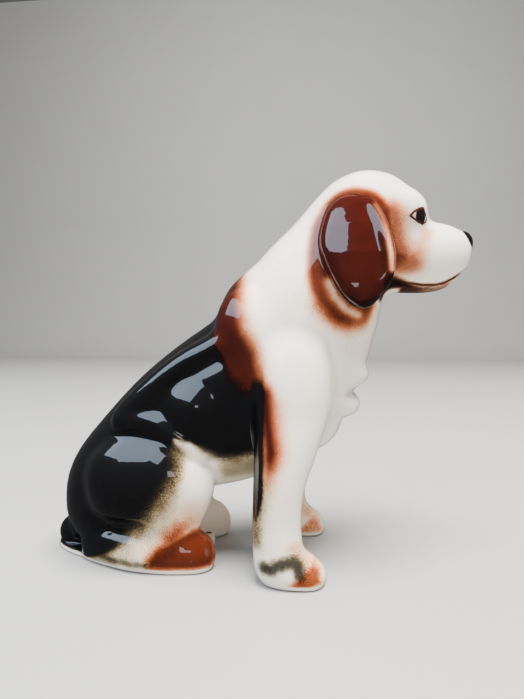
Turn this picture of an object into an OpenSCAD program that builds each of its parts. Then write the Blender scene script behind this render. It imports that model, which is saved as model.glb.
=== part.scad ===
// Sitting hound, a slip-cast porcelain figurine.
// It faces +X, its left side is +Y, and it sits on the plane z = 0 with the origin in the middle of its
// footprint box. A maker casts the trunk and the head hollow, presses the legs, ears and tail solid,
// lutes them together with slip while leather-hard and fires them as one: each piece is a node here.

/* [Figure] */
// Height over the top of the skull
figure_h = 86; // [70:1:110]
// Distance between the centre lines of the two forelegs
fore_gauge = 28.4; // [26:0.4:32]
// Distance between the centre lines of the two hind paws
hind_gauge = 20; // [18:0.5:23]

/* [Head] */
// Length of an ear from its root to its lobe
ear_l = 22.8; // [20:0.2:25]
// Thickness of an ear
ear_t = 5.6; // [4.8:0.2:6.4]
// Width of an eye from corner to corner
eye_w = 3.8; // [3:0.1:4.6]
// Width of the nose leather
nose_w = 5.6; // [4.6:0.2:6.4]

/* [Slip casting] */
// Wall of the hollow trunk and head
wall = 3; // [2.5:0.25:4]
// Vent hole under the seat, which lets the kiln air out
vent_d = 4; // [3:0.5:6]
// Lean of the luted neck joint from level
neck_lean = 34; // [28:1:40]

/* [Hidden] */

DRAWN_H = 86;           // the stations below are drawn for this height
NECK = [13.5, 0, 60];   // a point on the luted neck joint
VENT = [-22, 0, 0];     // middle of the vent hole
BIG = 200;
PORCELAIN = [0.93, 0.90, 0.84];
RUSSET = [0.40, 0.12, 0.06];
JET = [0.05, 0.05, 0.05];

// A station of a limb is [x, y, z, radius seen from the side, half width across].
SPINE = [
    [-33.2, 0, 10, 11.4, 10],
    [-31.6, 0, 15.6, 12.2, 11.5],
    [-26.3, 0, 21.6, 12.8, 12.6],
    [-18.4, 0, 30.2, 12.8, 13],
    [-9.8, 0, 37.3, 12.8, 13.4],
    [0.6, 0, 44, 13.4, 14],
    [6.5, 0, 50.6, 14, 13.6],
    [12.2, 0, 58.2, 14, 12.2],
    [17.9, 0, 66, 12.4, 10.8],
    [23.6, 0, 74.3, 11.6, 10.8]
];
BRISKET = [
    [-14, 0, 26.4, 11.8, 12],
    [-3, 0, 31, 13.4, 12.6],
    [6, 0, 37, 13, 12.4],
    [12, 0, 43.5, 12.6, 12],
    [13.6, 0, 53, 12.8, 11.8]
];
WITHERS = [2, 0, 54.4, 9.7, 9];
KEEL = [11.6, 0, 31.2, 7.2, 9];
UPPER_RUFF = [20.2, 0, 42, 4.9, 6];
LOWER_RUFF = [19, 0, 34.8, 4.3, 5.5];
SKULL = [[23.6, 0, 74.3, 11.6, 10.8], [27.6, 0, 75, 9.4, 9.6]];
MUZZLE = [[31, 0, 67.2, 7.6, 8], [38.2, 0, 67, 7.2, 6.4], [41.6, 0, 67.8, 5.2, 5.2]];
JAW = [[30, 0, 62.4, 3.2, 5], [40, 0, 62.2, 2.8, 3.8]];
BROW = [[30, 3.4, 77.2, 4.8, 4.8], [33.6, 3.6, 76.4, 4.2, 4.2]];
TAIL = [[-36, 0, 5.6, 6, 5], [-43.2, 0, 3.2, 4.2, 3.4]];

function paw_y() = fore_gauge / 2;
function hock_y() = hind_gauge / 2;

// Left-hand limbs; the right-hand ones are their mirror images.
function foreleg() = [
    [8.6, paw_y() - 3.2, 42, 7.6, 5],
    [7.9, paw_y() - 1.6, 31, 7.4, 5.2],
    [6, paw_y() - 0.2, 20, 5.3, 4.7],
    [5.7, paw_y(), 12, 4.8, 4.3],
    [6.2, paw_y(), 5, 5.2, 4.8]
];
function forepaw() = [[6.4, paw_y(), 3.6, 5, 4.9], [12.6, paw_y() - 0.2, 2, 3.4, 4.6]];
function thigh() = [[-25, hock_y() - 2, 18.6, 12, 7.8], [-18.8, hock_y() - 0.8, 19.4, 10.8, 6.6]];
function shin() = [[-17, hock_y(), 17, 8, 5], [-18.5, hock_y(), 8, 6.8, 4.6]];
function hindpaw() = [
    [-34, hock_y() / 2, 2.6, 4.5, 4.2],
    [-24, hock_y() - 1.4, 3.2, 4.6, 4.8],
    [-13.2, hock_y(), 3, 5.8, 4.5]
];
function ear() = [
    [19.8, 11.6, 55.2 + ear_l - 5.8, 5.8, ear_t / 2],
    [21, 12.8, 67.2, 7.3, ear_t / 2],
    [22.4, 13, 61.7, 6.4, ear_t / 2]
];

module station(s, less = 0) {
    translate([s[0], s[1], s[2]])
        scale([s[3] - less, s[4] - less, s[3] - less])
            sphere(1, $fn = 24);
}

// One tapered limb through its stations, drawn in by less all round
module limb(stations, less = 0) {
    for (i = [0 : len(stations) - 2])
        hull() {
            station(stations[i], less);
            station(stations[i + 1], less);
        }
}

// Footprint rim that the seat and the hind feet share
module seat_rim() {
    hull() {
        translate([-42.8, 0, 0]) scale([4.5, 3.4, 1]) cylinder(h = 1.3, r = 1, $fn = 24);
        translate([-36, 0, 0]) scale([8.6, 7.8, 1]) cylinder(h = 1.3, r = 1, $fn = 32);
        translate([-24, 0, 0]) scale([11.6, 12.4, 1]) cylinder(h = 1.3, r = 1, $fn = 32);
        translate([-17, 0, 0]) scale([7, hock_y() + 4, 1]) cylinder(h = 1.3, r = 1, $fn = 32);
    }
}

module above_neck() {
    translate(NECK) rotate([0, neck_lean, 0]) translate([-BIG / 2, -BIG / 2, 0]) cube(BIG);
}

module below_neck() {
    translate(NECK) rotate([0, neck_lean, 0]) translate([-BIG / 2, -BIG / 2, -BIG]) cube(BIG);
}

module above_floor() {
    translate([-BIG / 2, -BIG / 2, 0]) cube(BIG);
}

// Outside of the whole trunk and neck, before it is hollowed
module trunk_outside() {
    intersection() {
        union() {
            limb(SPINE);
            limb(BRISKET);
            station(WITHERS);
            station(KEEL);
            station(UPPER_RUFF);
            station(LOWER_RUFF);
            seat_rim();
        }
        above_floor();
    }
}

// The void that the drained slip leaves, open from the seat to the skull
module casting_void() {
    intersection() {
        limb(SPINE, wall);
        translate([0, 0, wall]) above_floor();
    }
    translate(VENT - [0, 0, 1]) cylinder(h = 14, d = vent_d, $fn = 32);
}

module head_outside() {
    limb([SPINE[7], SPINE[8], SPINE[9]]);
    limb([BRISKET[3], BRISKET[4]]);
    limb(SKULL);
    limb(MUZZLE);
    limb(JAW);
    for (side = [0, 1]) mirror([0, side, 0]) limb(BROW);
}

module whole_body() {
    trunk_outside();
    head_outside();
}

module torso_piece() {
    difference() {
        intersection() {
            trunk_outside();
            below_neck();
        }
        casting_void();
    }
}

module head_piece() {
    difference() {
        intersection() {
            head_outside();
            above_neck();
        }
        casting_void();
    }
}

module foreleg_piece() {
    difference() {
        intersection() {
            union() {
                limb(foreleg());
                limb(forepaw());
                translate([8, paw_y() - 5.2, 38.5]) scale([9.2, 8, 14]) sphere(1, $fn = 24);
            }
            above_floor();
        }
        trunk_outside();
    }
}

module hind_leg_piece() {
    difference() {
        intersection() {
            union() {
                limb(thigh());
                limb(shin());
                limb(hindpaw());
                limb([thigh()[1], shin()[0]]);
            }
            above_floor();
        }
        trunk_outside();
        limb(TAIL);
    }
}

module ear_piece() {
    difference() {
        limb(ear());
        whole_body();
    }
}

module eye_piece() {
    difference() {
        translate([34.5, 6.3, 74.4]) scale([eye_w / 2, 1.35, 1.75]) sphere(1, $fn = 24);
        head_outside();
    }
}

module mirrored() {
    mirror([0, 1, 0]) children();
}

module sized() {
    scale(figure_h / DRAWN_H) children();
}

module torso() { color(JET) sized() torso_piece(); }
module head() { color(PORCELAIN) sized() head_piece(); }
module left_ear() { color(RUSSET) sized() ear_piece(); }
module right_ear() { color(RUSSET) sized() mirrored() ear_piece(); }
module left_foreleg() { color(PORCELAIN) sized() foreleg_piece(); }
module right_foreleg() { color(PORCELAIN) sized() mirrored() foreleg_piece(); }
module left_hind_leg() { color(PORCELAIN) sized() hind_leg_piece(); }
module right_hind_leg() { color(PORCELAIN) sized() mirrored() hind_leg_piece(); }

module tail() {
    color(JET) sized() difference() {
        intersection() {
            limb(TAIL);
            above_floor();
        }
        trunk_outside();
    }
}

module nose() {
    color(JET) sized() difference() {
        translate([45, 0, 70.3]) scale([2.42, nose_w / 2, 2.1]) sphere(1, $fn = 24);
        head_outside();
    }
}

module left_eye() { color(JET) sized() eye_piece(); }
module right_eye() { color(JET) sized() mirrored() eye_piece(); }

torso();
head();
left_ear();
right_ear();
left_foreleg();
right_foreleg();
left_hind_leg();
right_hind_leg();
tail();
nose();
left_eye();
right_eye();
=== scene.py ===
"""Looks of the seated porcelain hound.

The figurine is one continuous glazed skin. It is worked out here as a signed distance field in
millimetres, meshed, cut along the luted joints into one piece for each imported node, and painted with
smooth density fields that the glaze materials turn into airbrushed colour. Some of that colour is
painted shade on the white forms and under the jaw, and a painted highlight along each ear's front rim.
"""
import math
import bpy
import numpy as np
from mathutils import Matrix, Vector


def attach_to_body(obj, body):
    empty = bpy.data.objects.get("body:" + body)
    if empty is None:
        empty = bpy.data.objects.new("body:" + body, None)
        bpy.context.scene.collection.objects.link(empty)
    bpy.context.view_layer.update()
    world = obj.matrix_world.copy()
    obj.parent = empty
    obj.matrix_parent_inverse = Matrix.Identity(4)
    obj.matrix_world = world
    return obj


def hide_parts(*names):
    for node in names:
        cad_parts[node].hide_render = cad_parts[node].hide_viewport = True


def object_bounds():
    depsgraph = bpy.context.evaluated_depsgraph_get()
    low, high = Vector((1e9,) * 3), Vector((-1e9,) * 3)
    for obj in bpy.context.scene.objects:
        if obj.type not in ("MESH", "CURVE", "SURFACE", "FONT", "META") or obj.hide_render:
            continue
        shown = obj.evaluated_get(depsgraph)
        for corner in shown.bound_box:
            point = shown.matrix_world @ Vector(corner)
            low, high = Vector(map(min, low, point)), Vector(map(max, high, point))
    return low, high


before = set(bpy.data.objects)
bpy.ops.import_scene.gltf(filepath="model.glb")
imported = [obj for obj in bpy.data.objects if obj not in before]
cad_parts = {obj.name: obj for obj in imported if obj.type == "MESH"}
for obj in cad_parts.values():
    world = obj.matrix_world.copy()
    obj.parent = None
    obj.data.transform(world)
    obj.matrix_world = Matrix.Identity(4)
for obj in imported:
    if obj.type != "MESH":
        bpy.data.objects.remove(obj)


def corners(box):
    return [[float(v) for v in corner] for corner in box]


CAD_BOX = corners(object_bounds())

# ---------------------------------------------------------------- sizes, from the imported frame
DRAWN_H = 85.8      # height over the skull that the stations below are drawn for, in mm
LOW, HIGH = np.array(CAD_BOX)
MM = (HIGH[2] - LOW[2]) / DRAWN_H
MIDDLE = np.array([(LOW[0] + HIGH[0]) / 2, (LOW[1] + HIGH[1]) / 2, LOW[2]])
STEP = 0.42      # mesh spacing of the skin, in mm

# A station of a limb is (x, y, z, radius seen from the side, half width across), in mm.
SPINE = [
    (-33.2, 0, 10.0, 11.4, 10.0), (-31.6, 0, 15.6, 12.2, 11.5), (-26.3, 0, 21.6, 12.8, 12.4),
    (-18.4, 0, 30.2, 12.8, 12.6), (-9.8, 0, 37.3, 12.8, 13.2), (0.6, 0, 44.0, 13.4, 13.8),
    (6.5, 0, 50.6, 14.0, 13.4), (12.2, 0, 58.2, 14.0, 12.2), (17.9, 0, 66.0, 12.4, 10.8),
    (23.6, 0, 74.3, 11.4, 10.6),
]
BRISKET = [
    (-14.0, 0, 26.4, 11.8, 11.6), (-3.0, 0, 31.0, 13.4, 12.2), (6.0, 0, 37.0, 13.0, 11.6),
    (12.0, 0, 43.5, 11.7, 10.4), (13.6, 0, 53.0, 12.7, 11.2),
]
MUZZLE = [(31.0, 0, 67.2, 7.6, 7.6), (38.2, 0, 67.0, 7.2, 6.0), (41.6, 0, 67.8, 5.2, 4.8)]
JAW = [(30.0, 0, 62.4, 3.2, 4.8), (36.0, 0, 62.2, 3.0, 4.2), (40.2, 0, 62.4, 2.7, 3.4)]
FORELEG = [
    (8.6, 11.0, 42.0, 7.6, 5.0), (7.9, 12.6, 31.0, 7.0, 5.0), (6.2, 14.0, 20.0, 5.2, 4.6),
    (5.7, 14.2, 12.0, 4.8, 4.3), (6.1, 14.2, 5.0, 5.1, 4.7),
]
FOREPAW = [(6.2, 14.2, 3.4, 5.0, 4.9), (10.0, 14.1, 2.4, 4.0, 4.9), (13.0, 14.0, 1.4, 2.9, 4.3)]
THIGH = [(-25.0, 8.0, 18.0, 12.0, 8.7), (-18.8, 9.2, 18.8, 10.8, 7.5)]
SHIN = [(-17.0, 10.0, 17.0, 8.0, 5.0), (-18.0, 10.0, 8.0, 6.8, 4.6)]
HINDPAW = [(-34.0, 6.0, 3.0, 5.2, 4.8), (-24.0, 9.6, 3.6, 5.2, 5.4), (-13.2, 10.0, 3.0, 5.8, 4.5)]
TAIL = [(-35.4, 0, 6.2, 6.4, 5.4), (-43.1, 0, 3.3, 4.3, 3.6)]
EAR_LEAF = [      # outline of an ear from the side, as (x, z)
    (14.2, 71.2), (13.9, 68.0), (14.9, 64.6), (16.2, 61.2), (17.8, 58.2), (20.0, 55.8), (22.6, 54.7),
    (25.2, 56.0), (27.2, 59.0), (28.8, 62.2), (28.8, 65.6), (28.0, 69.2), (27.0, 73.0), (25.4, 76.6),
    (22.6, 78.6), (18.8, 78.6), (15.8, 76.2),
]
EAR_MIDDLE = [(54.0, 13.5), (60.0, 13.6), (66.0, 13.1), (72.0, 11.4), (79.0, 8.6)]      # its (z, y)
EAR_RIM = [
    (24.2, 10.6, 76.8, 0.9, 0.9), (26.0, 12.4, 72.8, 1.1, 1.1), (27.0, 13.8, 69.0, 1.2, 1.2),
    (27.6, 14.2, 65.2, 1.2, 1.2), (27.4, 14.0, 62.2, 1.1, 1.1), (26.0, 13.8, 59.4, 0.9, 0.9),
]
FLANK_CREST = [
    (-6.0, 10.0, 47.4, 3.0, 3.0), (-14.0, 9.9, 43.0, 3.3, 3.3), (-21.0, 9.7, 37.6, 3.3, 3.3),
    (-27.5, 9.2, 31.8, 3.0, 3.0),
]
THIGH_FOLD = [
    (-28.0, 10.6, 31.4, 1.6, 1.6), (-20.5, 11.8, 31.4, 1.9, 1.9), (-15.0, 12.2, 28.4, 1.8, 1.8),
    (-9.8, 12.0, 24.6, 1.4, 1.4),
]
RIM_FOOTPRINT = [
    (-42.8, 0, 0, 4.5, 3.4), (-36.0, 0, 0, 8.6, 7.8), (-24.0, 0, 0, 11.6, 12.4),
    (-17.0, 0, 0, 7.0, 14.0),
]

# A ball is (x, y, z), (half length, half width, half height). Where y isn't 0 there is one on each side.
UPPER_ARM = ((8.0, 9.0, 38.5), (9.0, 7.8, 13.6))
NOSE_PAD = ((44.8, 0, 69.7), (2.4, 2.7, 2.7))
# The last number is how far the ball melts into the form before it.
CHEST_BALLS = [
    ((2.0, 0, 54.4), (9.7, 9.0, 9.7), 3.0),         # withers
    ((11.6, 0, 31.2), (7.2, 8.4, 7.0), 3.0),        # keel of the chest
    ((20.2, 2.8, 41.6), (4.7, 4.8, 3.3), 1.2),      # ruff, in three folds
    ((18.6, 2.6, 34.9), (4.5, 4.4, 3.1), 1.1),
    ((16.6, 5.6, 38.0), (3.6, 3.2, 6.0), 1.2),
    ((-1.5, 8.0, 50.5), (6.4, 6.6, 9.5), 1.6),      # shoulder blades
]
RIBS = ((-11.8, 8.2, 34.4), (7.2, 7.0, 6.8), 1.2)   # behind the elbows
HEAD_BALLS = [
    ((26.2, 0, 75.4), (9.3, 9.4, 9.0), 3.0),        # skull
    ((32.6, 3.6, 76.2), (4.2, 4.2, 4.2), 2.2),      # brows
]

# Lines seen from the side, as (x, z): the mouth, and the valleys and creases between the forms.
MOUTH = [
    (29.6, 61.7), (32.5, 61.0), (35.9, 60.5), (38.7, 60.5), (40.7, 61.0), (42.7, 62.0), (45.2, 63.6),
]
THIGH_VALLEY = [(-35.0, 25.5), (-30.0, 28.6), (-24.5, 29.4), (-19.0, 28.8), (-14.6, 26.6), (-12.4, 24.6)]
HOCK_VALLEY = [(-36.0, 9.8), (-29.0, 10.6), (-22.0, 10.2), (-18.0, 9.0)]
FLANK_VALLEY = [(-7.0, 44.8), (-13.0, 41.8), (-18.5, 38.2)]
RUFF_CREASE = [(18.6, 36.9), (21.8, 37.6), (25.0, 38.6)]
ARM_CREASE = [
    (14.3, 50.0), (15.6, 48.2), (16.6, 45.2), (17.3, 42.0), (17.9, 37.8), (18.1, 33.4), (16.8, 29.4),
    (14.4, 26.0), (12.0, 23.6),
]

NECK_POINT = np.array([13.5, 0, 60.0])      # on the luted neck joint
NECK_LEAN = math.radians(34)
TAIL_JOINT_X = -42.5    # the tail piece lies behind this
VENT_X, VENT_R, VENT_DEPTH = -22.0, 2.0, 7.0      # the kiln vent under the seat
RIM_H = 1.3             # height of the white rim under the seat
EAR_SPACE = ((13.0, 6.0, 54.0), (29.5, 16.2, 79.5))      # the box that holds the left ear's leaf
EAR_CENTRE_X = 21.0
EAR_HALF = 2.3          # half thickness of a leaf
EAR_BEND = 0.035        # how strongly a leaf curves in towards its edges
LEFT_HAUNCH_BACK = 2.6  # the left haunch is modelled this much further back
LIP_DEPTH, LIP_W = 0.32, 0.42      # of the mouth line, which is pressed in
SPACE = ((-49, -21, -1.5), (49.5, 21, 88))      # the box that the skin is meshed in
REACH = 7.0             # distances are only followed this far from a form
LIMB_BLEND = 0.35       # how far the stretches of a limb melt into each other
LIMB_OVERLAP = 2.4      # how many stretches count at a usual point of its skin
BATCH = 150000          # points worked out at a time


# ---------------------------------------------------------------- distance fields
def smooth_min(a, b, k):
    h = np.maximum(k - np.abs(a - b), 0) / k
    return np.minimum(a, b) - h * h * k / 4


def smooth_max(a, b, k):
    return -smooth_min(-a, -b, k)


def smoothstep(lo, hi, v):
    t = np.clip((v - lo) / (hi - lo), 0, 1)
    return t * t * (3 - 2 * t)


def within_reach(p, lo, hi, shape):
    """Evaluates a shape only for the points that are near its box."""
    near = np.all((p > np.subtract(lo, REACH)) & (p < np.add(hi, REACH)), axis=1)
    out = np.full(len(p), REACH, np.float32)
    if near.any():
        out[near] = np.minimum(shape(p[near]), REACH)
    return out


def ball(p, centre, radii):
    c, r = np.float32(centre), np.float32(radii)

    def shape(q):
        k0 = np.linalg.norm((q - c) / r, axis=1)
        k1 = np.linalg.norm((q - c) / (r * r), axis=1)
        return k0 * (k0 - 1) / np.maximum(k1, 1e-6)

    return within_reach(p, c - r, c + r, shape)


def spline(stations, parts=5):
    """Catmull-Rom through the stations, so a limb has no kink where two stretches meet."""
    s = np.array(stations, float)
    s = np.vstack([2 * s[0] - s[1], s, 2 * s[-1] - s[-2]])
    out = []
    for i in range(1, len(s) - 2):
        before, a, b, after = s[i - 1:i + 3]
        for t in np.arange(parts) / parts:
            out.append(0.5 * (2 * a + (b - before) * t + (2 * before - 5 * a + 4 * b - after) * t**2
                              + (3 * a - before - 3 * b + after) * t**3))
    return np.array(out + [s[-2]])


def limb(p, stations):
    """Distance to a tapered limb that runs through its stations."""
    run = spline(stations) if len(stations) > 2 else np.array(stations, float)
    span = np.stack([run[:, 3], run[:, 4], run[:, 3]], 1)

    def shape(q):
        total = np.zeros(len(q))
        for a, b in zip(run, run[1:]):
            ab = b[:3] - a[:3]
            t = np.clip(((q - a[:3]) @ ab) / (ab @ ab), 0, 1)
            rest = q - (a[:3] + t[:, None] * ab)
            side = rest[:, 0] ** 2 + rest[:, 2] ** 2
            r = a[3] + (b[3] - a[3]) * t
            w = a[4] + (b[4] - a[4]) * t
            k0 = np.sqrt(side / r**2 + rest[:, 1] ** 2 / w**2)
            k1 = np.sqrt(side / r**4 + rest[:, 1] ** 2 / w**4)
            d = np.where(k1 > 1e-6, k0 * (k0 - 1) / np.maximum(k1, 1e-6), -np.minimum(r, w))
            total += np.exp(np.minimum(-d / LIMB_BLEND, 60))
        return -LIMB_BLEND * np.log(np.maximum(total, 1e-9) / LIMB_OVERLAP)

    return within_reach(p, (run[:, :3] - span).min(0), (run[:, :3] + span).max(0), shape)


def path_distance(u, v, points):
    """Distance in a plane to an open path."""
    out = np.full(len(u), 1e3)
    for (ax, ay), (bx, by) in zip(points, points[1:]):
        dx, dy = bx - ax, by - ay
        t = np.clip(((u - ax) * dx + (v - ay) * dy) / (dx * dx + dy * dy), 0, 1)
        out = np.minimum(out, np.hypot(u - ax - t * dx, v - ay - t * dy))
    return out


def area_distance(u, v, points):
    """Signed distance in a plane to a closed outline, negative inside it."""
    loop = list(points) + [points[0]]
    inside = np.zeros(len(u), bool)
    for (ax, ay), (bx, by) in zip(loop, loop[1:]):
        crosses = (ay > v) != (by > v)
        edge = ax + (v - ay) * (bx - ax) / (by - ay if by != ay else 1e-9)
        inside ^= crosses & (u < edge)
    return np.where(inside, -1, 1) * path_distance(u, v, loop)


def paired(p):
    """The same points on the dog's left side, where the paired forms are drawn."""
    return np.stack([p[:, 0], np.abs(p[:, 1]), p[:, 2]], 1)


def haunch_space(p):
    """Paired points, pushed forward on the left above the foot, which sets the left haunch back."""
    m = paired(p)
    m[:, 0] += np.where(p[:, 1] > 0, LEFT_HAUNCH_BACK, 0) * np.clip((p[:, 2] - 5) / 8, 0, 1)
    return m


def groove(p, points, depth, width):
    """How far a groove along a side-view path cuts into the paired sides."""
    away = path_distance(p[:, 0], p[:, 2], points)
    return depth * np.exp(-(away / width) ** 2) * smoothstep(5.0, 9.0, np.abs(p[:, 1]))


def crease(p, points, depth, width):
    """A groove that runs right across the middle of the body."""
    away = path_distance(p[:, 0], p[:, 2], points)
    return depth * np.exp(-(away / width) ** 2)


def add_balls(d, m, balls):
    for centre, radii, blend in balls:
        d = smooth_min(d, ball(m, centre, radii), blend)
    return d


def trunk(p):
    """Body, neck and head without the ears."""
    m = paired(p)
    d = smooth_min(limb(p, SPINE), limb(p, BRISKET), 5.0)
    d = add_balls(d, m, CHEST_BALLS)
    d = smooth_min(d, limb(m, FLANK_CREST), 2.2)
    d = smooth_min(d, limb(m, THIGH_FOLD), 1.6)
    d = d + groove(p, FLANK_VALLEY, 0.9, 1.8) * smoothstep(-21.0, -13.0, p[:, 0])
    d = add_balls(d, m, [RIBS, *HEAD_BALLS])
    d = smooth_min(d, limb(p, MUZZLE), 3.5)
    d = smooth_min(d, limb(p, JAW), 0.6)
    d = smooth_min(d, ball(p, *NOSE_PAD), 0.7)
    return d + crease(p, MOUTH, LIP_DEPTH, LIP_W) + crease(p, RUFF_CREASE, 0.3, 0.8)


def forelegs(p):
    m = paired(p)
    d = smooth_min(ball(m, *UPPER_ARM), limb(m, FORELEG), 2.0)
    return smooth_min(d, limb(m, FOREPAW), 1.5)


def hind_legs(p):
    h = haunch_space(p)
    d = smooth_min(limb(h, THIGH), limb(h, SHIN), 3.0) + groove(h, THIGH_VALLEY, 0.8, 1.3)
    d = d + groove(h, HOCK_VALLEY, 0.7, 1.1)
    return smooth_min(d, limb(paired(p), HINDPAW), 1.2)


def rounded(outline, rounds=2):
    """Cuts the corners of a closed outline until it is a smooth curve."""
    points = np.array(outline, float)
    for _ in range(rounds):
        after = np.roll(points, -1, 0)
        points = np.stack([0.75 * points + 0.25 * after, 0.25 * points + 0.75 * after], 1).reshape(-1, 2)
    return points.tolist()


EAR_OUTLINE = rounded(EAR_LEAF)


def ears(p):
    """Each ear is a flat leaf with round edges and a raised front rim."""
    def leaf(q):
        middle = np.interp(q[:, 2], *np.array(EAR_MIDDLE).T)
        bend = EAR_BEND * (q[:, 0] - EAR_CENTRE_X) ** 2
        off = np.abs(q[:, 1] - middle + bend) - EAR_HALF
        return smooth_max(area_distance(q[:, 0], q[:, 2], EAR_OUTLINE), off, 2.8)

    m = paired(p)
    d = within_reach(m, *EAR_SPACE, leaf)
    return smooth_min(d, limb(m, EAR_RIM), 1.6)


def seat_rim(p):
    """The low white rim round the seat and under the tail."""
    flat = p.copy()
    flat[:, 2] = 0
    return smooth_max(limb(flat, RIM_FOOTPRINT), p[:, 2] - RIM_H, 0.8)


def figure(p):
    """The whole glazed skin."""
    d = smooth_min(trunk(p), forelegs(p), 1.6)
    beside = np.abs(p[:, 1])
    on_chest_side = smoothstep(3.5, 6.0, beside) * smoothstep(13.0, 10.5, beside)
    d = d + crease(p, ARM_CREASE, 0.55, 0.9) * on_chest_side
    d = smooth_min(d, hind_legs(p), 1.4)
    d = smooth_min(d, limb(p, TAIL), 1.8)
    d = smooth_min(d, seat_rim(p), 0.9)
    d = smooth_min(d, ears(p), 0.7)
    d = smooth_max(d, -p[:, 2], 0.5)
    vent = np.maximum(np.hypot(p[:, 0] - VENT_X, p[:, 1]) - VENT_R, p[:, 2] - VENT_DEPTH)
    return smooth_max(d, -vent, 0.5)


TETRAHEDRON = np.float32([(1, 1, 1), (1, -1, -1), (-1, 1, -1), (-1, -1, 1)])


def value_and_gradient(field, p, h=0.05):
    """Both from four samples round each point."""
    samples = [field(p + h * corner) for corner in TETRAHEDRON]
    slope = sum(v[:, None] * corner for v, corner in zip(samples, TETRAHEDRON)) / (4 * h)
    return sum(samples) / 4, slope


def facing_out(field, p):
    slope = value_and_gradient(field, p)[1]
    return slope / np.maximum(np.linalg.norm(slope, axis=1), 1e-6)[:, None]


def settle(p, rounds=2):
    """Brings points onto the surface of the figure."""
    for _ in range(rounds):
        d, g = value_and_gradient(figure, p)
        p = p - (d / np.maximum((g * g).sum(1), 0.25))[:, None] * g
    return p.astype(np.float32)


# ---------------------------------------------------------------- meshing
def sample(lo, count, step):
    """The figure on a grid, worked out finely only near the surface."""
    coarse = 4                                      # fine steps in a coarse one
    centre = (coarse - 1) / (2 * coarse)            # of the fine points that a coarse one stands for
    small = [-(-n // coarse) + 1 for n in count]
    ax = [lo[i] + step * coarse * (np.arange(small[i]) + centre) for i in range(3)]
    grid = np.stack(np.meshgrid(*ax, indexing="ij"), -1).reshape(-1, 3).astype(np.float32)
    rough = figure(grid).reshape(small)
    for axis in range(3):
        rough = np.repeat(rough, coarse, axis)
    field = rough[:count[0], :count[1], :count[2]].copy()
    near = np.argwhere(np.abs(field) < step * coarse * 1.25)
    at = (np.array(lo) + near * step).astype(np.float32)
    values = np.concatenate([figure(part) for part in np.array_split(at, len(at) // BATCH + 1)])
    field[tuple(near.T)] = values
    return field


CORNERS = [(i, j, k) for i in (0, 1) for j in (0, 1) for k in (0, 1)]


def crossing_means(field, where):
    """For each cell, the mean of the points where the surface crosses its edges, in grid steps."""
    total, hits = np.zeros((len(where), 3)), np.zeros(len(where))
    for corner in CORNERS:
        for axis in range(3):
            if corner[axis]:
                continue
            along = np.eye(3, dtype=int)[axis]
            near, far = field[tuple((where + corner).T)], field[tuple((where + corner + along).T)]
            cut = (near < 0) != (far < 0)
            t = np.where(cut, near / np.where(near == far, 1, near - far), 0)
            total += np.where(cut[:, None], where + corner + t[:, None] * along, 0)
            hits += cut
    return total / hits[:, None]


def quads_round_edges(inside, index):
    """A quad for each grid edge that the surface crosses, through the four cells round that edge."""
    cells = index.shape
    quads = []
    for axis, u, w in ((0, 1, 2), (1, 2, 0), (2, 0, 1)):
        near, far = [slice(1, None)] * 3, [slice(1, None)] * 3
        near[axis] = slice(0, -1)
        shrink = tuple(slice(0, cells[i] - (i != axis)) for i in range(3))
        starts, ends = inside[tuple(near)][shrink], inside[tuple(far)][shrink]
        edge = np.argwhere(starts != ends)
        leaving = starts[tuple(edge.T)]
        top = edge.copy()
        top[:, u] += 1
        top[:, w] += 1
        du, dw = np.eye(3, dtype=int)[u], np.eye(3, dtype=int)[w]
        quad = np.stack([index[tuple((top - back).T)] for back in (du + dw, dw, 0 * du, du)], 1)
        quad[~leaving] = quad[~leaving][:, ::-1]
        quads.append(quad)
    return np.concatenate(quads)


def surface_net(lo, hi, step):
    """The figure's skin in quads: one vertex in each grid cell that the surface passes through."""
    lo = np.array(lo, float)
    count = np.ceil((np.array(hi) - lo) / step).astype(int) + 1
    field = sample(lo, count, step)
    inside = field < 0
    cells = count - 1
    corners_inside = np.zeros(cells, np.int8)
    for i, j, k in CORNERS:
        corners_inside += inside[i:cells[0] + i, j:cells[1] + j, k:cells[2] + k]
    mixed = (corners_inside > 0) & (corners_inside < 8)
    where = np.argwhere(mixed)
    index = np.full(cells, -1)
    index[mixed] = np.arange(len(where))
    verts = lo + step * crossing_means(field, where)
    return verts.astype(np.float32), quads_round_edges(inside, index)


def even_out(verts, quads, rounds=2):
    """Slides the vertices along the surface to the middle of their neighbours."""
    for _ in range(rounds):
        total = np.zeros((len(verts), 3))
        hits = np.zeros(len(verts))
        for k in range(4):
            a, b = quads[:, k], quads[:, (k + 1) % 4]
            for one, other in ((a, b), (b, a)):
                np.add.at(total, one, verts[other])
                np.add.at(hits, one, 1)
        verts = settle((verts + 0.5 * (total / hits[:, None] - verts)).astype(np.float32), 1)
    return verts


# ---------------------------------------------------------------- which piece owns a point
def neck_side(p):
    """Negative on the head's side of the luted neck joint."""
    normal = np.array([math.sin(NECK_LEAN), 0, math.cos(NECK_LEAN)])
    return -((p - NECK_POINT) @ normal)


def pair(part, slot, form, spread):
    """The left and the right piece of a paired form, which reach a little beyond the form itself."""
    def half(side):
        return lambda p: np.maximum(form(p) - spread, -side * p[:, 1])

    return [("left_" + part, slot, half(1)), ("right_" + part, slot, half(-1))]


# Later entries are luted on top of earlier ones. Each field is negative on its own piece.
PIECES = [
    ("torso", "black_glaze", lambda p: np.full(len(p), -1.0)),
    ("head", "glazed_porcelain", neck_side),
    *pair("foreleg", "glazed_porcelain", forelegs, 0.3),
    *pair("hind_leg", "glazed_porcelain", hind_legs, 0.3),
    ("tail", "black_glaze", lambda p: np.maximum(limb(p, TAIL) - 0.2, p[:, 0] - TAIL_JOINT_X)),
    *pair("ear", "russet_glaze", ears, 0.25),
    ("nose", "black_enamel", lambda p: ball(p, *NOSE_PAD) - 0.12),
]


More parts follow.
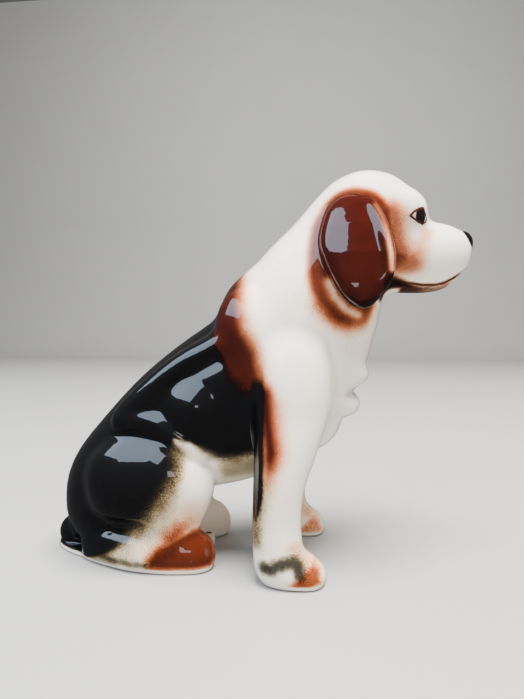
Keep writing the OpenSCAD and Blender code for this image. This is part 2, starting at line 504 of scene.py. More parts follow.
def owners(p):
    """The number of the piece that each point is on."""
    label = np.zeros(len(p), int)
    for i, (_, _, field) in enumerate(PIECES):
        label[field(p) < 0] = i
    return label


def neighbours(quads):
    """Pairs of quads that share an edge."""
    ends = np.concatenate([np.sort(quads[:, [k, (k + 1) % 4]], 1) for k in range(4)]).astype(np.int64)
    key = ends[:, 0] * (quads.max() + 1) + ends[:, 1]
    order = np.argsort(key, kind="stable")
    same = key[order][1:] == key[order][:-1]
    face = np.tile(np.arange(len(quads)), 4)[order]
    return face[:-1][same], face[1:][same]


def without_islands(quads, label):
    """Gives every stray patch to the piece round it, so each piece is in one part."""
    a, b = neighbours(quads)
    alike = label[a] == label[b]
    patch = np.arange(len(quads))
    while True:
        before = patch.copy()
        low = np.minimum(patch[a[alike]], patch[b[alike]])
        np.minimum.at(patch, a[alike], low)
        np.minimum.at(patch, b[alike], low)
        patch = patch[patch]
        if (patch == before).all():
            break
    size = np.bincount(patch, minlength=len(quads))
    largest = {k: size[patch[label == k]].max() for k in np.unique(label)}
    stray = size[patch] < np.array([largest[k] for k in label])
    while stray.any():
        for one, other in ((a, b), (b, a)):
            take = stray[one] & ~stray[other]
            label[one[take]] = label[other[take]]
            stray[one[take]] = False
    return label


def snap_to_joints(verts, quads, label):
    """Moves the vertices on a joint onto the joint's exact line, along the surface."""
    top = np.zeros(len(verts), int)
    low = np.full(len(verts), len(PIECES))
    for k in range(4):
        np.maximum.at(top, quads[:, k], label)
        np.minimum.at(low, quads[:, k], label)
    for i, (_, _, field) in enumerate(PIECES):
        on = np.flatnonzero((top == i) & (low != i))
        if not len(on):
            continue
        p = verts[on]
        n = facing_out(figure, p)
        d, g = value_and_gradient(field, p)
        g -= (g * n).sum(1)[:, None] * n
        move = -(d / np.maximum((g * g).sum(1), 0.1))[:, None] * g
        size = np.linalg.norm(move, axis=1)[:, None]
        longest = 0.6 * STEP        # a longer move could fold a quad
        verts[on] = p + move * np.minimum(1, longest / np.maximum(size, 1e-6))
        verts[on] = settle(verts[on], 1)
    return verts


# ---------------------------------------------------------------- where each colour is sprayed
# Outlines, paths and spots seen from the side, as (x, z) in mm.
BLACK = [
    (-9.5, 60.0), (-7.8, 51.4), (-7.2, 48.2), (-5.4, 45.0), (-3.6, 41.4), (-1.2, 38.8), (2.4, 37.2),
    (3.8, 33.0), (3.0, 27.0), (0.8, 24.8), (-2.8, 23.6), (-5.6, 23.6), (-7.7, 24.2), (-9.6, 25.4),
    (-12.1, 27.6), (-15.4, 28.4), (-14.4, 25.8), (-13.7, 23.2), (-14.4, 20.6), (-16.2, 18.0),
    (-18.4, 15.0), (-20.4, 12.2), (-22.8, 9.4), (-25.2, 7.4), (-28.0, 4.8), (-31.2, 3.0),
    (-35.0, 1.4), (-38.0, 0.3), (-52.0, 0.0), (-52.0, 30.0), (-38.0, 46.0), (-20.0, 60.0),
]
CHESTNUT = [
    (-11.5, 55.0), (-7.5, 61.5), (-3.2, 62.6), (-2.2, 59.0), (-2.0, 55.0), (-1.0, 50.5), (1.4, 46.6),
    (2.2, 43.0), (2.2, 38.0), (1.2, 34.5), (-9.0, 34.5), (-11.0, 41.5), (-13.0, 46.5), (-14.0, 51.0),
]
HEAD_RUSSET = [
    (24.0, 78.2), (20.2, 78.9), (17.5, 77.5), (15.4, 76.0), (13.9, 74.3), (13.0, 72.0), (12.5, 69.0),
    (12.2, 66.0), (12.2, 62.0), (12.8, 58.8), (14.4, 56.2), (16.2, 54.0), (17.9, 52.6), (20.3, 52.0),
    (22.8, 52.8), (25.2, 55.0), (28.2, 58.2), (31.0, 61.2), (32.8, 62.6), (33.2, 64.6), (31.9, 66.4),
    (30.2, 66.8), (29.2, 69.5), (28.4, 72.4), (28.2, 75.2), (26.5, 77.2),
]
EAR_GAP = [(16.2, 60.4), (17.3, 57.6), (19.6, 55.0), (22.0, 54.0)]
EAR_EDGE = [(25.2, 75.7), (26.4, 72.8), (27.2, 69.2), (27.9, 65.3), (28.1, 62.6)]
JAW_CORNER = [
    (27.2, 60.4), (29.5, 61.9), (31.6, 61.2), (33.9, 60.2), (36.4, 59.8), (36.6, 58.8), (33.4, 58.4),
    (29.8, 58.2), (27.2, 57.4),
]
HIND_TOE = [
    (-20.9, 1.6), (-20.9, 3.5), (-20.1, 4.9), (-18.7, 6.1), (-15.5, 7.8), (-12.0, 9.4), (-9.4, 8.4),
    (-7.4, 6.0), (-7.0, 2.8), (-8.1, 1.3), (-13.1, 1.1), (-18.0, 1.2),
]
THIGH_FLUSH = [(-16.2, 7.4), (-14.3, 10.3), (-12.5, 12.2), (-11.8, 14.0)]
FORE_TOE = [
    (8.6, 1.4), (10.3, 2.6), (12.0, 4.2), (13.2, 4.9), (14.3, 3.6), (14.6, 1.6), (12.5, 1.1), (9.7, 1.0),
]
LEG_SMUDGE = [(2.4, 20.0), (1.9, 15.0), (1.5, 9.0)]
SHIN_SMUDGE = [(-32.0, 2.6), (-27.0, 2.3), (-21.5, 2.2)]
HIND_PAW_SMUDGE = [(-19.6, 3.0), (-16.0, 5.4)]
PAW_SMUDGE = [(3.7, 4.4), (5.0, 4.3), (6.0, 5.1), (8.0, 5.6), (9.4, 5.8), (10.3, 4.8), (10.6, 3.6)]
ANKLE = [(9.3, 8.2), (10.5, 6.6), (12.0, 5.2)]
STREAK = [(3.4, 38.0), (4.2, 31.6), (4.8, 27.0), (4.2, 19.0)]
CHEEK = [(28.4, 74.0), (29.6, 68.0), (31.8, 64.0), (32.8, 64.4)]
EAR_TIP = [(19, 56.4), (22.2, 54.8), (25.4, 56.2)]
MUZZLE_BLUSH, LIP_BLUSH = (36.4, 70.9), (35.0, 68.0)
BROW_BLUSH = [(26.0, 77.0), (29.5, 76.4), (32.0, 74.6)]
EAR_ROOT_BLUSH = [(23.4, 78.0), (25.8, 76.4)]
LEG_BLUSH = [(6.2, 36.0), (7.2, 26.0)]
BELLY_TAN = [(-10.0, 20.5), (-2.0, 21.8), (2.0, 22.5)]
LEG_TAN = [(3.6, 20.0), (2.6, 15.0), (2.0, 9.0)]
NECK_TAN = [(19.0, 53.0), (14.0, 55.0)]
THROAT_TAN = [(24.5, 55.0), (21.5, 47.5)]


def spray(distance, core, soft):
    """Paint density: full inside core, none beyond core + soft."""
    return smoothstep(core + soft, core - 0.15 * soft, distance)


def coats(*densities):
    """Density of several coats of one colour over each other."""
    bare = 1
    for density in densities:
        bare = bare * (1 - density)
    return 1 - bare


class Skin:
    """The points to paint, folded onto the left side, and the forms that they lie on."""

    def __init__(self, p):
        self.x, self.y, self.z = paired(p).T
        self.right = p[:, 1] < 0
        self.ear = ears(p)
        self.on_ear = smoothstep(0.3, 0.05, self.ear)
        self.on_leg = smoothstep(0.7, 0.1, forelegs(p))
        self.on_thigh = smoothstep(-11.0, -15.0, self.x) * smoothstep(29.0, 25.0, self.z)
        self.above_rim = smoothstep(0.9, 1.15, self.z)
        self.saddle = area_distance(self.x, self.z, BLACK)
        # The underside of the jaw below the mouth line, where painted shade is laid.
        under_lip = smoothstep(0.1, 0.6, np.interp(self.x, *np.array(MOUTH).T) - self.z)
        self.shaded_jaw = under_lip * smoothstep(30.5, 32, self.x) * (self.z > 56)

    def spot(self, centre, core, soft):
        return spray(np.hypot(self.x - centre[0], self.z - centre[1]), core, soft)

    def path(self, points, core, soft):
        return spray(path_distance(self.x, self.z, points), core, soft)

    def area(self, points, core, soft):
        return spray(area_distance(self.x, self.z, points), core, soft)

    def line(self, points, width):
        """A soft line that has no flat core."""
        return np.exp(-(path_distance(self.x, self.z, points) / width) ** 2)


def tan_and_shade_spray(s):
    """A tan haze at the edge of the saddle on the thighs. Under the belly behind the forelegs, down the
    back of each foreleg and on the neck and throat it is partly a tint and partly painted shade that
    models the white forms.
    """
    # partly painted shade: under the belly, down the back of each foreleg, on the neck and throat
    belly = 0.85 * s.path(BELLY_TAN, 1.2, 3.6) * (1 - s.on_leg) * smoothstep(-9.0, -5.0, s.x)
    thigh = 0.8 * spray(s.saddle, 0.3, 9.0) * s.on_thigh
    leg = 0.6 * s.path(LEG_TAN, 0.5, 3.2) * s.on_leg
    neck = 0.4 * s.path(NECK_TAN, 0.5, 4.0)
    throat = 0.22 * s.path(THROAT_TAN, 1.5, 5.0)
    return np.maximum.reduce([belly, thigh, leg, neck, throat]) * s.above_rim


def blush_spray(s):
    """Pink on the muzzle, brow, ear root and foreleg."""
    blush = 0.7 * s.spot(MUZZLE_BLUSH, 0.3, 2.4) + 0.7 * s.spot(LIP_BLUSH, 0.6, 2.8)
    blush += 0.35 * s.path(BROW_BLUSH, 0.2, 1.6)
    blush += 0.5 * s.path(EAR_ROOT_BLUSH, 0.2, 2.0) * (s.y > 6)
    blush += 0.45 * s.path(LEG_BLUSH, 0.5, 3.0) * s.on_leg
    return np.minimum(blush, 1)


def orange_spray(s):
    """Toes, ankles and a flush over the hind toes; the toes and the flush are paler on the left side."""
    toe = s.area(HIND_TOE, -1.0, 2.4 + 1.2 * smoothstep(-13, -19, s.x))
    toe *= np.where(s.right, 1.0, 0.18) * smoothstep(5.0, 8.0, s.y)
    flush = s.path(THIGH_FLUSH, 0.6, 4.2) * (0.35 + 0.5 * smoothstep(14.0, 7.5, s.z))
    flush *= np.where(s.right, 1, 0.3)
    fore_toe = 0.84 * s.area(FORE_TOE, -0.4, 1.7) * np.where(s.right, 1.0, 0.7)
    ankle = 0.42 * s.path(ANKLE, 0.4, 2.4)
    return np.maximum.reduce([toe, flush, fore_toe, ankle]) * smoothstep(0.9, 1.3, s.z)


def russet_spray(s):
    """Shoulders, ears with the spray round them, cheeks and the streak down each foreleg; a lighter line
    along each ear's front rim is partly rubbed paint and partly a painted highlight.
    """
    shoulder = s.area(CHESTNUT, -1.2, 5.6)
    fade = 2.6 + 1.2 * smoothstep(27, 30, s.x) + 2.0 * smoothstep(59, 55, s.z)
    around_ear = s.area(HEAD_RUSSET, -0.3, fade)
    around_ear = np.maximum(around_ear, spray(s.ear, 0.7, 2.4) * smoothstep(30.0, 27.0, s.x))
    around_ear *= smoothstep(4.0, 8.0, s.y)
    around_ear *= 1 - 0.56 * s.line(EAR_GAP, 1.0) * (1 - s.on_ear)
    cheek = s.path(CHEEK, 1.5, 4.8) * smoothstep(4.0, 7.0, s.y)
    streak = s.path(STREAK, 0.3, 4.2) * s.on_leg
    streak *= smoothstep(10.0, 13.0, s.y) * smoothstep(15.0, 27.0, s.z)
    # A lighter line along each ear's front rim: partly rubbed paint, partly a painted highlight.
    rubbed_rim_and_highlight = s.line(EAR_EDGE, 0.6) * smoothstep(10.5, 12.5, s.y)
    rubbed_rim_and_highlight *= 0.35 + 0.65 * smoothstep(73.0, 67.0, s.z)
    head = 0.9 * np.maximum(around_ear, 0.8 * cheek)
    return coats(0.97 * shoulder, head, s.on_ear, streak) * (1 - 0.58 * rubbed_rim_and_highlight)


def soot_and_shade_spray(s):
    """Grey smudges on the paws and legs, and painted shade under the jaw."""
    paw = 0.9 * s.path(PAW_SMUDGE, 0.5, 2.0) * smoothstep(11.5, 15.0, s.y) * (s.z < 7.5)
    leg = 0.6 * s.path(LEG_SMUDGE, 0.2, 2.6) * s.on_leg
    shin = 0.7 * s.path(SHIN_SMUDGE, 0.2, 1.5) * smoothstep(6.0, 9.0, s.y)
    hind_paw = 0.35 * s.path(HIND_PAW_SMUDGE, 0.6, 2.6) * s.right
    # painted shade on the underside of the jaw
    jaw = 0.36 * s.shaded_jaw * smoothstep(43.0, 39.0, s.x)
    return np.maximum.reduce([paw, leg, shin, hind_paw, jaw])


def umber_and_shade_spray(s):
    """The mouth, painted shade on the jaw under it, the ear tips, and a brown line in the groove below
    the nose that is partly painted shade along the front edge of the muzzle.
    """
    lips = 0.85 * s.path(MOUTH, 0.05, 0.6) * smoothstep(29.0, 30.5, s.x) * smoothstep(45.6, 43.0, s.x)
    corner = s.area(JAW_CORNER, -0.2, 1.5) * smoothstep(2.0, 4.0, s.y)
    # painted shade on the underside of the jaw
    jaw = (0.52 + 0.30 * smoothstep(39.0, 32.0, s.x)) * s.shaded_jaw * smoothstep(43.5, 41.5, s.x)
    ear_tip = 0.75 * s.on_ear * s.path(EAR_TIP, 0.5, 1.8)
    # a brown line down the front of the muzzle, partly painted shade along its edge
    philtrum = spray(s.y, 0.1, 0.9) * smoothstep(43.4, 44.4, s.x) * smoothstep(70, 69, s.z) * (s.z > 63.4)
    return np.maximum.reduce([lips, corner, jaw, ear_tip, 0.6 * philtrum])


def black_spray(s):
    """The saddle, and the rear face of each foreleg."""
    softness = 0.7 + 3.2 * s.on_thigh * smoothstep(3.0, 9.0, s.z)
    softness += 1.8 * smoothstep(48, 41, s.z) * smoothstep(-9, -4, s.x) * smoothstep(33, 37, s.z)
    softness += 1.6 * smoothstep(28.5, 25.5, s.z) * smoothstep(-13.0, -10.0, s.x)
    black = smoothstep(softness, -softness, s.saddle)
    rear_face = smoothstep(4.0, 2.8, s.x + 0.25 * (18 - np.minimum(s.z, 18)))
    rear_face *= smoothstep(10.0, 16.0, s.z) * smoothstep(45, 38, s.z)
    black += s.on_leg * smoothstep(-0.5, 1.0, s.x) * (rear_face - black)
    return np.maximum(black, rear_face * s.on_leg) * s.above_rim


def paint(p):
    """Density of each colour at each point, from 0 to 1."""
    s = Skin(p)
    return {
        "tan": tan_and_shade_spray(s), "blush": blush_spray(s), "orange": orange_spray(s),
        "russet": russet_spray(s), "soot_and_shade": soot_and_shade_spray(s), "umber_and_shade": umber_and_shade_spray(s),
        "black": black_spray(s), "nose": smoothstep(0.3, 0.05, ball(p, *NOSE_PAD)),
        "bare": smoothstep(0.3, 0.05, s.z),
    }


# ---------------------------------------------------------------- making the pieces
def placed(name, data):
    """A new object for a mesh, a lamp or the camera, in the scene."""
    holder = bpy.data.objects.new(name, data)
    bpy.context.scene.collection.objects.link(holder)
    return holder


def smooth_mesh(name, points, faces, layers=None):
    """A smooth-shaded mesh. Each layer has one number for each point."""
    mesh = bpy.data.meshes.new(name)
    mesh.from_pydata(points.tolist(), [], faces)
    for key, values in (layers or {}).items():
        layer = mesh.attributes.new(key, "FLOAT", "POINT")
        layer.data.foreach_set("value", values.astype(np.float32))
    mesh.polygons.foreach_set("use_smooth", np.ones(len(faces), bool))
    mesh.update()
    return mesh


def open_loops(quads, count):
    """The loops of edges along which a piece is cut from its neighbours."""
    a = np.concatenate([quads[:, k] for k in range(4)]).astype(np.int64)
    b = np.concatenate([quads[:, (k + 1) % 4] for k in range(4)]).astype(np.int64)
    cut = ~np.isin(b * count + a, a * count + b)
    onward = {}
    for start, end in zip(a[cut].tolist(), b[cut].tolist()):
        onward.setdefault(start, []).append(end)
    loops = []
    while onward:
        loop = [next(iter(onward))]
        while loop[-1] in onward:
            ends = onward[loop[-1]]
            loop.append(ends.pop())
            if not ends:
                del onward[loop[-2]]
            if loop[-1] == loop[0]:
                break
        if len(loop) > 3:
            loops.append(loop[:-1])
    return loops


def make_piece(name, verts, normals, quads, densities):
    """One piece of the skin, with a cap of triangles inside each joint so that it is closed."""
    used, local = np.unique(quads, return_inverse=True)
    local = local.reshape(quads.shape)
    loops = open_loops(local, len(used))
    points = [verts[used]]
    faces = local.tolist()
    shading = [normals[used]]
    for i, loop in enumerate(loops):
        middle = len(used) + i
        points.append(points[0][loop].mean(0, keepdims=True))
        shading.append(-shading[0][loop].mean(0, keepdims=True))
        faces += [[b, a, middle] for a, b in zip(loop, loop[1:] + loop[:1])]
    unpainted = np.zeros(len(loops))
    layers = {key: np.concatenate([value[used], unpainted]) for key, value in densities.items()}
    mesh = smooth_mesh(name + "_glaze", np.concatenate(points) * MM + MIDDLE, faces, layers)
    mesh.normals_split_custom_set_from_vertices(np.concatenate(shading).tolist())
    return placed(name + "_glaze", mesh)


def attach(piece, node, material):
    """Puts a piece in the place of its CAD node."""
    piece.data.materials.append(material)
    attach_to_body(piece, "root")
    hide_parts(node)


# ---------------------------------------------------------------- glaze materials
class Nodes:
    """Short names for building a node tree."""

    def __init__(self, name):
        self.material = bpy.data.materials.new(name)
        self.material.use_nodes = True
        self.tree = self.material.node_tree
        self.tree.nodes.clear()

    def add(self, kind, inputs=None, **settings):
        node = self.tree.nodes.new(kind)
        for key, value in settings.items():
            setattr(node, key, value)
        for key, value in (inputs or {}).items():
            if isinstance(value, bpy.types.NodeSocket):
                self.tree.links.new(value, node.inputs[key])
            else:
                node.inputs[key].default_value = value
        return node

    def math(self, operation, a, b=0.0, c=0.0, clamp=False):
        node = self.add("ShaderNodeMath", {0: a, 1: b, 2: c}, operation=operation, use_clamp=clamp)
        return node.outputs[0]

    def step(self, lo, hi, value):
        node = self.add("ShaderNodeMapRange", {"Value": value, "From Min": lo, "From Max": hi},
                        interpolation_type="SMOOTHSTEP")
        return node.outputs[0]

    def mix(self, factor, a, b):
        node = self.add("ShaderNodeMix", data_type="RGBA")
        for socket, value in ((node.inputs["Factor"], factor), (node.inputs[6], a), (node.inputs[7], b)):
            if isinstance(value, bpy.types.NodeSocket):
                self.tree.links.new(value, socket)
            else:
                socket.default_value = value
        return node.outputs[2]

    def filtered(self, colour, veil):
        node = self.add("ShaderNodeMix", data_type="RGBA", blend_type="MULTIPLY")
        node.inputs["Factor"].default_value = 1.0
        self.tree.links.new(colour, node.inputs[6])
        self.tree.links.new(veil, node.inputs[7])
        return node.outputs[2]

    def luma(self, colour):
        return self.add("ShaderNodeRGBToBW", {"Color": colour}).outputs[0]

    def layer(self, key):
        """A number that is stored on the mesh."""
        return self.add("ShaderNodeAttribute", attribute_name=key).outputs["Fac"]

    def noise(self, where, scale, detail=2.0, rough=0.5):
        node = self.add("ShaderNodeTexNoise", {"Vector": where, "Scale": scale, "Detail": detail,
                                               "Roughness": rough})
        return node.outputs["Fac"]


WHITE = (1, 1, 1, 1)
PORCELAIN, CREAM = (0.87, 0.82, 0.74, 1), (0.81, 0.73, 0.61, 1)
KILN_SPECK = (0.10, 0.08, 0.06, 1)
MOTTLED = (0.80, 0.80, 0.80, 1)
BISQUE = ((0.66, 0.60, 0.50, 1), (0.50, 0.44, 0.35, 1))
# Each spray in spraying order: the filter it lays where it is thin and at half cover, its own colour at
# full cover, and how grainy its edge is.
# The tan spray is partly painted shade on the white forms; the soot and umber sprays also lay painted
# shade under the jaw.
SPRAYS = [
    ("tan", (0.86, 0.78, 0.62, 1), (0.54, 0.47, 0.33, 1), (0.24, 0.19, 0.12, 1), 1.1),
    ("blush", (0.97, 0.74, 0.60, 1), (0.88, 0.52, 0.38, 1), (0.66, 0.30, 0.17, 1), 0.35),
    ("orange", (0.96, 0.62, 0.42, 1), (0.62, 0.17, 0.06, 1), (0.080, 0.013, 0.004, 1), 0.8),
    ("russet", (0.94, 0.63, 0.46, 1), (0.52, 0.15, 0.065, 1), (0.034, 0.0042, 0.0022, 1), 0.4),
    ("soot_and_shade", (0.62, 0.59, 0.50, 1), (0.15, 0.14, 0.11, 1), (0.016, 0.016, 0.012, 1), 1.2),
    ("umber_and_shade", (0.62, 0.38, 0.28, 1), (0.12, 0.040, 0.020, 1), (0.008, 0.002, 0.0012, 1), 0.3),
    ("black", (0.64, 0.55, 0.42, 1), (0.08, 0.065, 0.045, 1), (0.003, 0.003, 0.0034, 1), 1.0),
    ("nose", (0.20, 0.17, 0.15, 1), (0.03, 0.03, 0.03, 1), (0.003, 0.003, 0.003, 1), 0.1),
]


def glaze():
    """Glazed porcelain with sprayed colours, some of them painted shade, under a clear, slightly uneven
    glass.
    """
    n = Nodes("sprayed_porcelain_glaze")
    where = n.add("ShaderNodeTexCoord").outputs["Object"]
    speck = n.noise(where, 5200, 2.0, 0.7)
    cloud = n.noise(where, 420, 3.0, 0.6)
    grain = n.math("ADD", n.math("MULTIPLY", speck, 0.75), n.math("MULTIPLY", cloud, 0.25))
    tint = n.noise(where, 60, 2.0, 0.5)
    colour = n.mix(n.step(0.35, 0.75, tint), PORCELAIN, CREAM)
    for key, thin, half, full, roughness in SPRAYS:
        density = n.layer(key)
        wobble = n.math("MULTIPLY", n.math("SUBTRACT", grain, 0.5), 1.6 * roughness)
        edge = n.math("MULTIPLY", n.math("MULTIPLY", density, n.math("SUBTRACT", 1.0, density)), 4.0)
        cover = n.math("ADD", density, n.math("MULTIPLY", wobble, edge), clamp=True)
        veil = n.mix(n.step(0.0, 0.5, cover), WHITE, thin)
        veil = n.mix(n.step(0.25, 0.75, cover), veil, half)
        colour = n.mix(n.step(0.55, 1.0, cover), n.filtered(colour, veil), full)
    mottle = n.mix(n.step(0.3, 0.7, n.noise(where, 170, 3.0, 0.6)), MOTTLED, WHITE)
    colour = n.filtered(colour, n.mix(n.step(0.5, 0.1, n.luma(colour)), WHITE, mottle))
    pits = n.add("ShaderNodeTexVoronoi", {"Vector": where, "Scale": 170.0})
    pit = n.step(0.055, 0.02, pits.outputs["Distance"])
    chosen = n.step(0.80, 0.82, n.add("ShaderNodeSeparateColor", {0: pits.outputs["Color"]}).outputs[0])
    pit = n.math("MULTIPLY", pit, chosen)
    colour = n.mix(n.math("MULTIPLY", pit, 0.7), colour, KILN_SPECK)
    bare = n.layer("bare")
    colour = n.mix(bare, colour, n.mix(n.noise(where, 900, 4.0, 0.6), *BISQUE))

    swell = n.noise(where, 260, 2.0, 0.45)
    ripple = n.noise(where, 1400, 2.0, 0.5)
    height = n.math("ADD", swell, n.math("MULTIPLY", ripple, 0.05))
    bump = n.add("ShaderNodeBump", {"Height": height, "Distance": 0.00006, "Strength": 1.0})
    shell = n.add("ShaderNodeBsdfPrincipled", {
        "Base Color": colour, "Roughness": n.math("ADD", n.math("MULTIPLY", bare, 0.45), 0.32),
        "Specular IOR Level": 0.05, "Coat Weight": n.math("SUBTRACT", 1.0, bare), "Coat Roughness": 0.025,
        "Coat IOR": 1.52, "Coat Normal": bump.outputs[0], "Subsurface Weight": 0.12,
        "Subsurface Scale": 0.0012, "Subsurface Radius": (1.0, 0.75, 0.5)})
    n.add("ShaderNodeOutputMaterial", {"Surface": shell.outputs[0]})
    return n.material


EYE_WHITE = ((0.66, 0.60, 0.54, 1), (0.50, 0.44, 0.40, 1))
IRIS_BLACK = (0.006, 0.004, 0.004, 1)
LID_BROWN = (0.055, 0.014, 0.008, 1)


def eye_enamel():
    """White with a black iris, and a brown line round the edge that was brushed on by hand."""
    n = Nodes("eye_enamel")
    where = n.add("ShaderNodeTexCoord").outputs["Object"]
    uneven = n.math("MULTIPLY", n.math("SUBTRACT", n.noise(where, 2600, 2.0, 0.5), 0.5), 0.16)
    white = n.mix(n.noise(where, 1500), *EYE_WHITE)
    colour = n.mix(n.step(0.12, -0.06, n.math("ADD", n.layer("iris"), uneven)), white, IRIS_BLACK)
    colour = n.mix(n.step(0.46, 0.26, n.math("ADD", n.layer("lid"), uneven)), colour, LID_BROWN)
    shell = n.add("ShaderNodeBsdfPrincipled", {
        "Base Color": colour, "Roughness": 0.22, "Coat Weight": 1.0, "Coat Roughness": 0.02})
    n.add("ShaderNodeOutputMaterial", {"Surface": shell.outputs[0]})
    return n.material


# ---------------------------------------------------------------- eyes
EYE = [
    (32.3, 74.2), (33.3, 75.3), (34.5, 76.0), (35.4, 76.2), (35.9, 75.2), (36.4, 73.9), (36.1, 73.2),
    (35.4, 72.7), (34.4, 73.0), (33.3, 73.6),
]
EYE_ACROSS = (31.9, 36.8, 60)            # the grid under the drop: from, to and count along x
EYE_UP = (72.3, 76.6, 52)                # and along z
EYE_SPREAD = 0.12                        # how far the enamel runs past its outline
EYE_EDGE_H, EYE_CROWN_H = 0.06, 0.34     # height of the drop at its edge, and what its crown adds
EYE_SUNK = 0.5                           # how deep its back lies in the porcelain
IRIS = ((34.65, 74.4), (1.05, 2.0))      # centre and half sizes of the upright black iris


def on_left_side(x, z):
    """The points of the left side of the head that are seen at (x, z), by Newton steps across."""
    y, tiny = np.full(len(x), 9.0), 0.05
    for _ in range(14):
        p = np.stack([x, y, z], 1).astype(np.float32)
        d = figure(p)
        slope = (figure(p + np.float32([0, tiny, 0])) - d) / tiny
        y = y - np.clip(d / np.maximum(slope, 0.35), -1.5, 1.5)
    return np.stack([x, y, z], 1).astype(np.float32)


def plate(keep):
    """Faces of a closed plate over the kept places of a grid: front, back and wall."""
    index = np.arange(keep.size).reshape(keep.shape)
    solid = keep[:-1, :-1] & keep[1:, :-1] & keep[:-1, 1:] & keep[1:, 1:]
    a, b = index[:-1, :-1][solid], index[1:, :-1][solid]
    c, d = index[1:, 1:][solid], index[:-1, 1:][solid]
    front = np.stack([a, d, c, b], 1)
    edges = {}
    for face in front.tolist():
        for s, t in zip(face, face[1:] + face[:1]):
            if (t, s) in edges:
                del edges[(t, s)]
            else:
                edges[(s, t)] = True
    wall = [[t, s, s + keep.size, t + keep.size] for s, t in edges]
    return np.concatenate([front, front[:, ::-1] + keep.size, np.array(wall)])


def eye_piece(side):
    """A thin raised drop of enamel that follows the brow, on one side of the head."""
    x, z = np.meshgrid(np.linspace(*EYE_ACROSS), np.linspace(*EYE_UP), indexing="ij")
    inside = -area_distance(x.ravel(), z.ravel(), EYE)
    keep = (inside > -EYE_SPREAD).reshape(x.shape)
    x, z = x.ravel(), z.ravel()
    p = on_left_side(x, z)
    out = facing_out(figure, p)
    lift = EYE_EDGE_H + EYE_CROWN_H * np.sqrt(np.clip((inside + 0.1) / 1.4, 0, 1))
    points = np.concatenate([p + out * lift[:, None], p - out * EYE_SUNK])
    faces = plate(keep)
    if side < 0:
        points[:, 1] *= -1
        faces = faces[:, ::-1]
    used, local = np.unique(faces, return_inverse=True)
    (iris_x, iris_z), (half_w, half_h) = IRIS
    iris = np.hypot((x - iris_x) / half_w, (z - iris_z) / half_h) - 1
    layers = {"iris": np.tile(iris, 2)[used], "lid": np.tile(inside, 2)[used]}
    name = ("left" if side > 0 else "right") + "_eye"
    local = local.reshape(faces.shape).tolist()
    mesh = smooth_mesh(name + "_drop", points[used] * MM + MIDDLE, local, layers)
    return name, placed(name + "_drop", mesh)


# ---------------------------------------------------------------- studio
def floor_and_backdrop():
    """A pale sheet that runs up behind the figurine in one sweep."""
    front, depth, rise, bend, half = -0.8, 1.2, 0.9, 0.35, 1.6
    profile = [(front, 0.0), (depth - bend, 0.0)]
    profile += [(depth - bend + bend * math.sin(a), bend - bend * math.cos(a))
                for a in np.linspace(0, math.pi / 2, 24)[1:]]
    profile.append((depth, rise))
    points = np.array([(x, y, z) for y, z in profile for x in (-half, half)])
    faces = [(2 * i, 2 * i + 1, 2 * i + 3, 2 * i + 2) for i in range(len(profile) - 1)]
    mesh = smooth_mesh("sweep", points, faces)
    sweep = placed("sweep", mesh)
    n = Nodes("pale_paper")
    where = n.add("ShaderNodeTexCoord").outputs["Object"]
    colour = n.mix(n.noise(where, 8), (0.33, 0.327, 0.32, 1), (0.36, 0.357, 0.35, 1))
    shell = n.add("ShaderNodeBsdfPrincipled", {"Base Color": colour, "Roughness": 0.55})
    n.add("ShaderNodeOutputMaterial", {"Surface": shell.outputs[0]})
    mesh.materials.append(n.material)
    sweep.visible_glossy = False


def facing(direction):
    return Vector(direction).to_track_quat("-Z", "Y").to_euler()


def softbox(name, place, target, size, power, colour, mirrored=False):
    """A rectangular lamp. Only a mirrored one is seen in the glaze."""
    lamp = bpy.data.lights.new(name, "AREA")
    lamp.shape = "RECTANGLE"
    lamp.size, lamp.size_y = size
    lamp.energy = power
    lamp.color = colour
    holder = placed(name, lamp)
    holder.location = place
    holder.rotation_euler = facing(np.subtract(target, place))
    holder.visible_glossy = mirrored


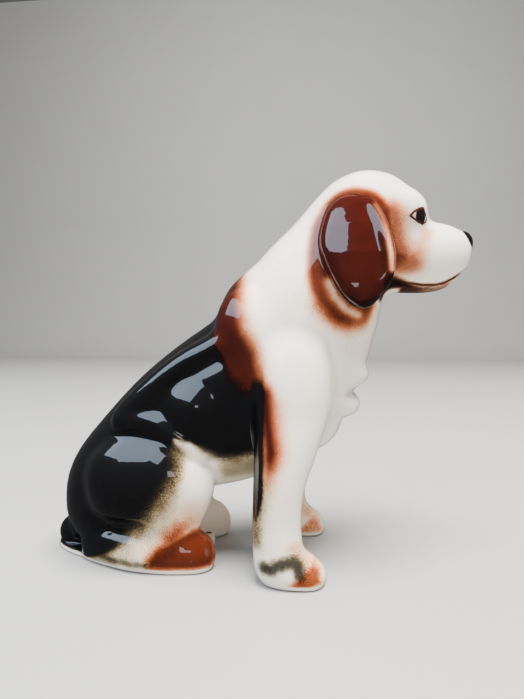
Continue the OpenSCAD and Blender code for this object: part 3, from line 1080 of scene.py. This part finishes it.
def light_studio():
    """A cool window and a small lamp that show in the glaze, and soft fill that doesn't."""
    middle = (0.0, 0.0, 0.045)
    softbox("window", (-0.36, -0.30, 0.50), middle, (0.80, 0.42), 7.0, (0.64, 0.79, 1.0), mirrored=True)
    softbox("lamp", (0.05, -0.50, 0.12), middle, (0.10, 0.07), 0.11, (1.0, 0.95, 0.95), mirrored=True)
    softbox("overhead", (0.10, -0.10, 0.62), middle, (0.35, 0.25), 23.0, (1.0, 0.96, 0.90))
    softbox("front", (0.34, -0.48, 0.25), middle, (0.3, 0.3), 1.5, (1.0, 0.94, 0.88))
    softbox("wall", (0.0, 0.30, 0.80), (0.0, 1.2, 0.30), (0.8, 0.3), 14.0, (1.0, 0.99, 0.97))
    world = bpy.data.worlds.new("studio_air")
    world.use_nodes = True
    air = world.node_tree.nodes["Background"]
    air.inputs["Color"].default_value = (0.80, 0.81, 0.83, 1)
    air.inputs["Strength"].default_value = 0.13
    bpy.context.scene.world = world


def place_camera():
    """Level with the dog's shoulder, 120 mm off its right side, as a phone close to it."""
    turn, dip = math.radians(6), math.radians(1.9)
    lens = bpy.data.cameras.new("camera")
    lens.lens = 27.3
    lens.sensor_width = 36
    lens.clip_start = 0.005
    holder = placed("camera", lens)
    holder.location = (0.01387, -0.11984, 0.0505)
    level = math.cos(dip)
    holder.rotation_euler = facing((-math.sin(turn) * level, math.cos(turn) * level, -math.sin(dip)))
    bpy.context.scene.camera = holder


# ---------------------------------------------------------------- putting it together
def build_figurine():
    """The skin is made whole, then cut into its pieces, and the eyes are laid on it."""
    verts, quads = surface_net(*SPACE, STEP)
    verts = even_out(settle(verts, 2), quads)
    label = without_islands(quads, owners(verts[quads].mean(1).astype(np.float32)))
    verts = snap_to_joints(verts, quads, label)
    normals = facing_out(figure, verts)
    densities = paint(verts)
    coat = glaze()
    for i, (node, slot, _) in enumerate(PIECES):
        piece = make_piece(node, verts, normals, quads[label == i], densities)
        attach(piece, node, coat)
    enamel = eye_enamel()
    for side in (1, -1):
        node, piece = eye_piece(side)
        attach(piece, node, enamel)


place_camera()
build_figurine()
floor_and_backdrop()
light_studio()
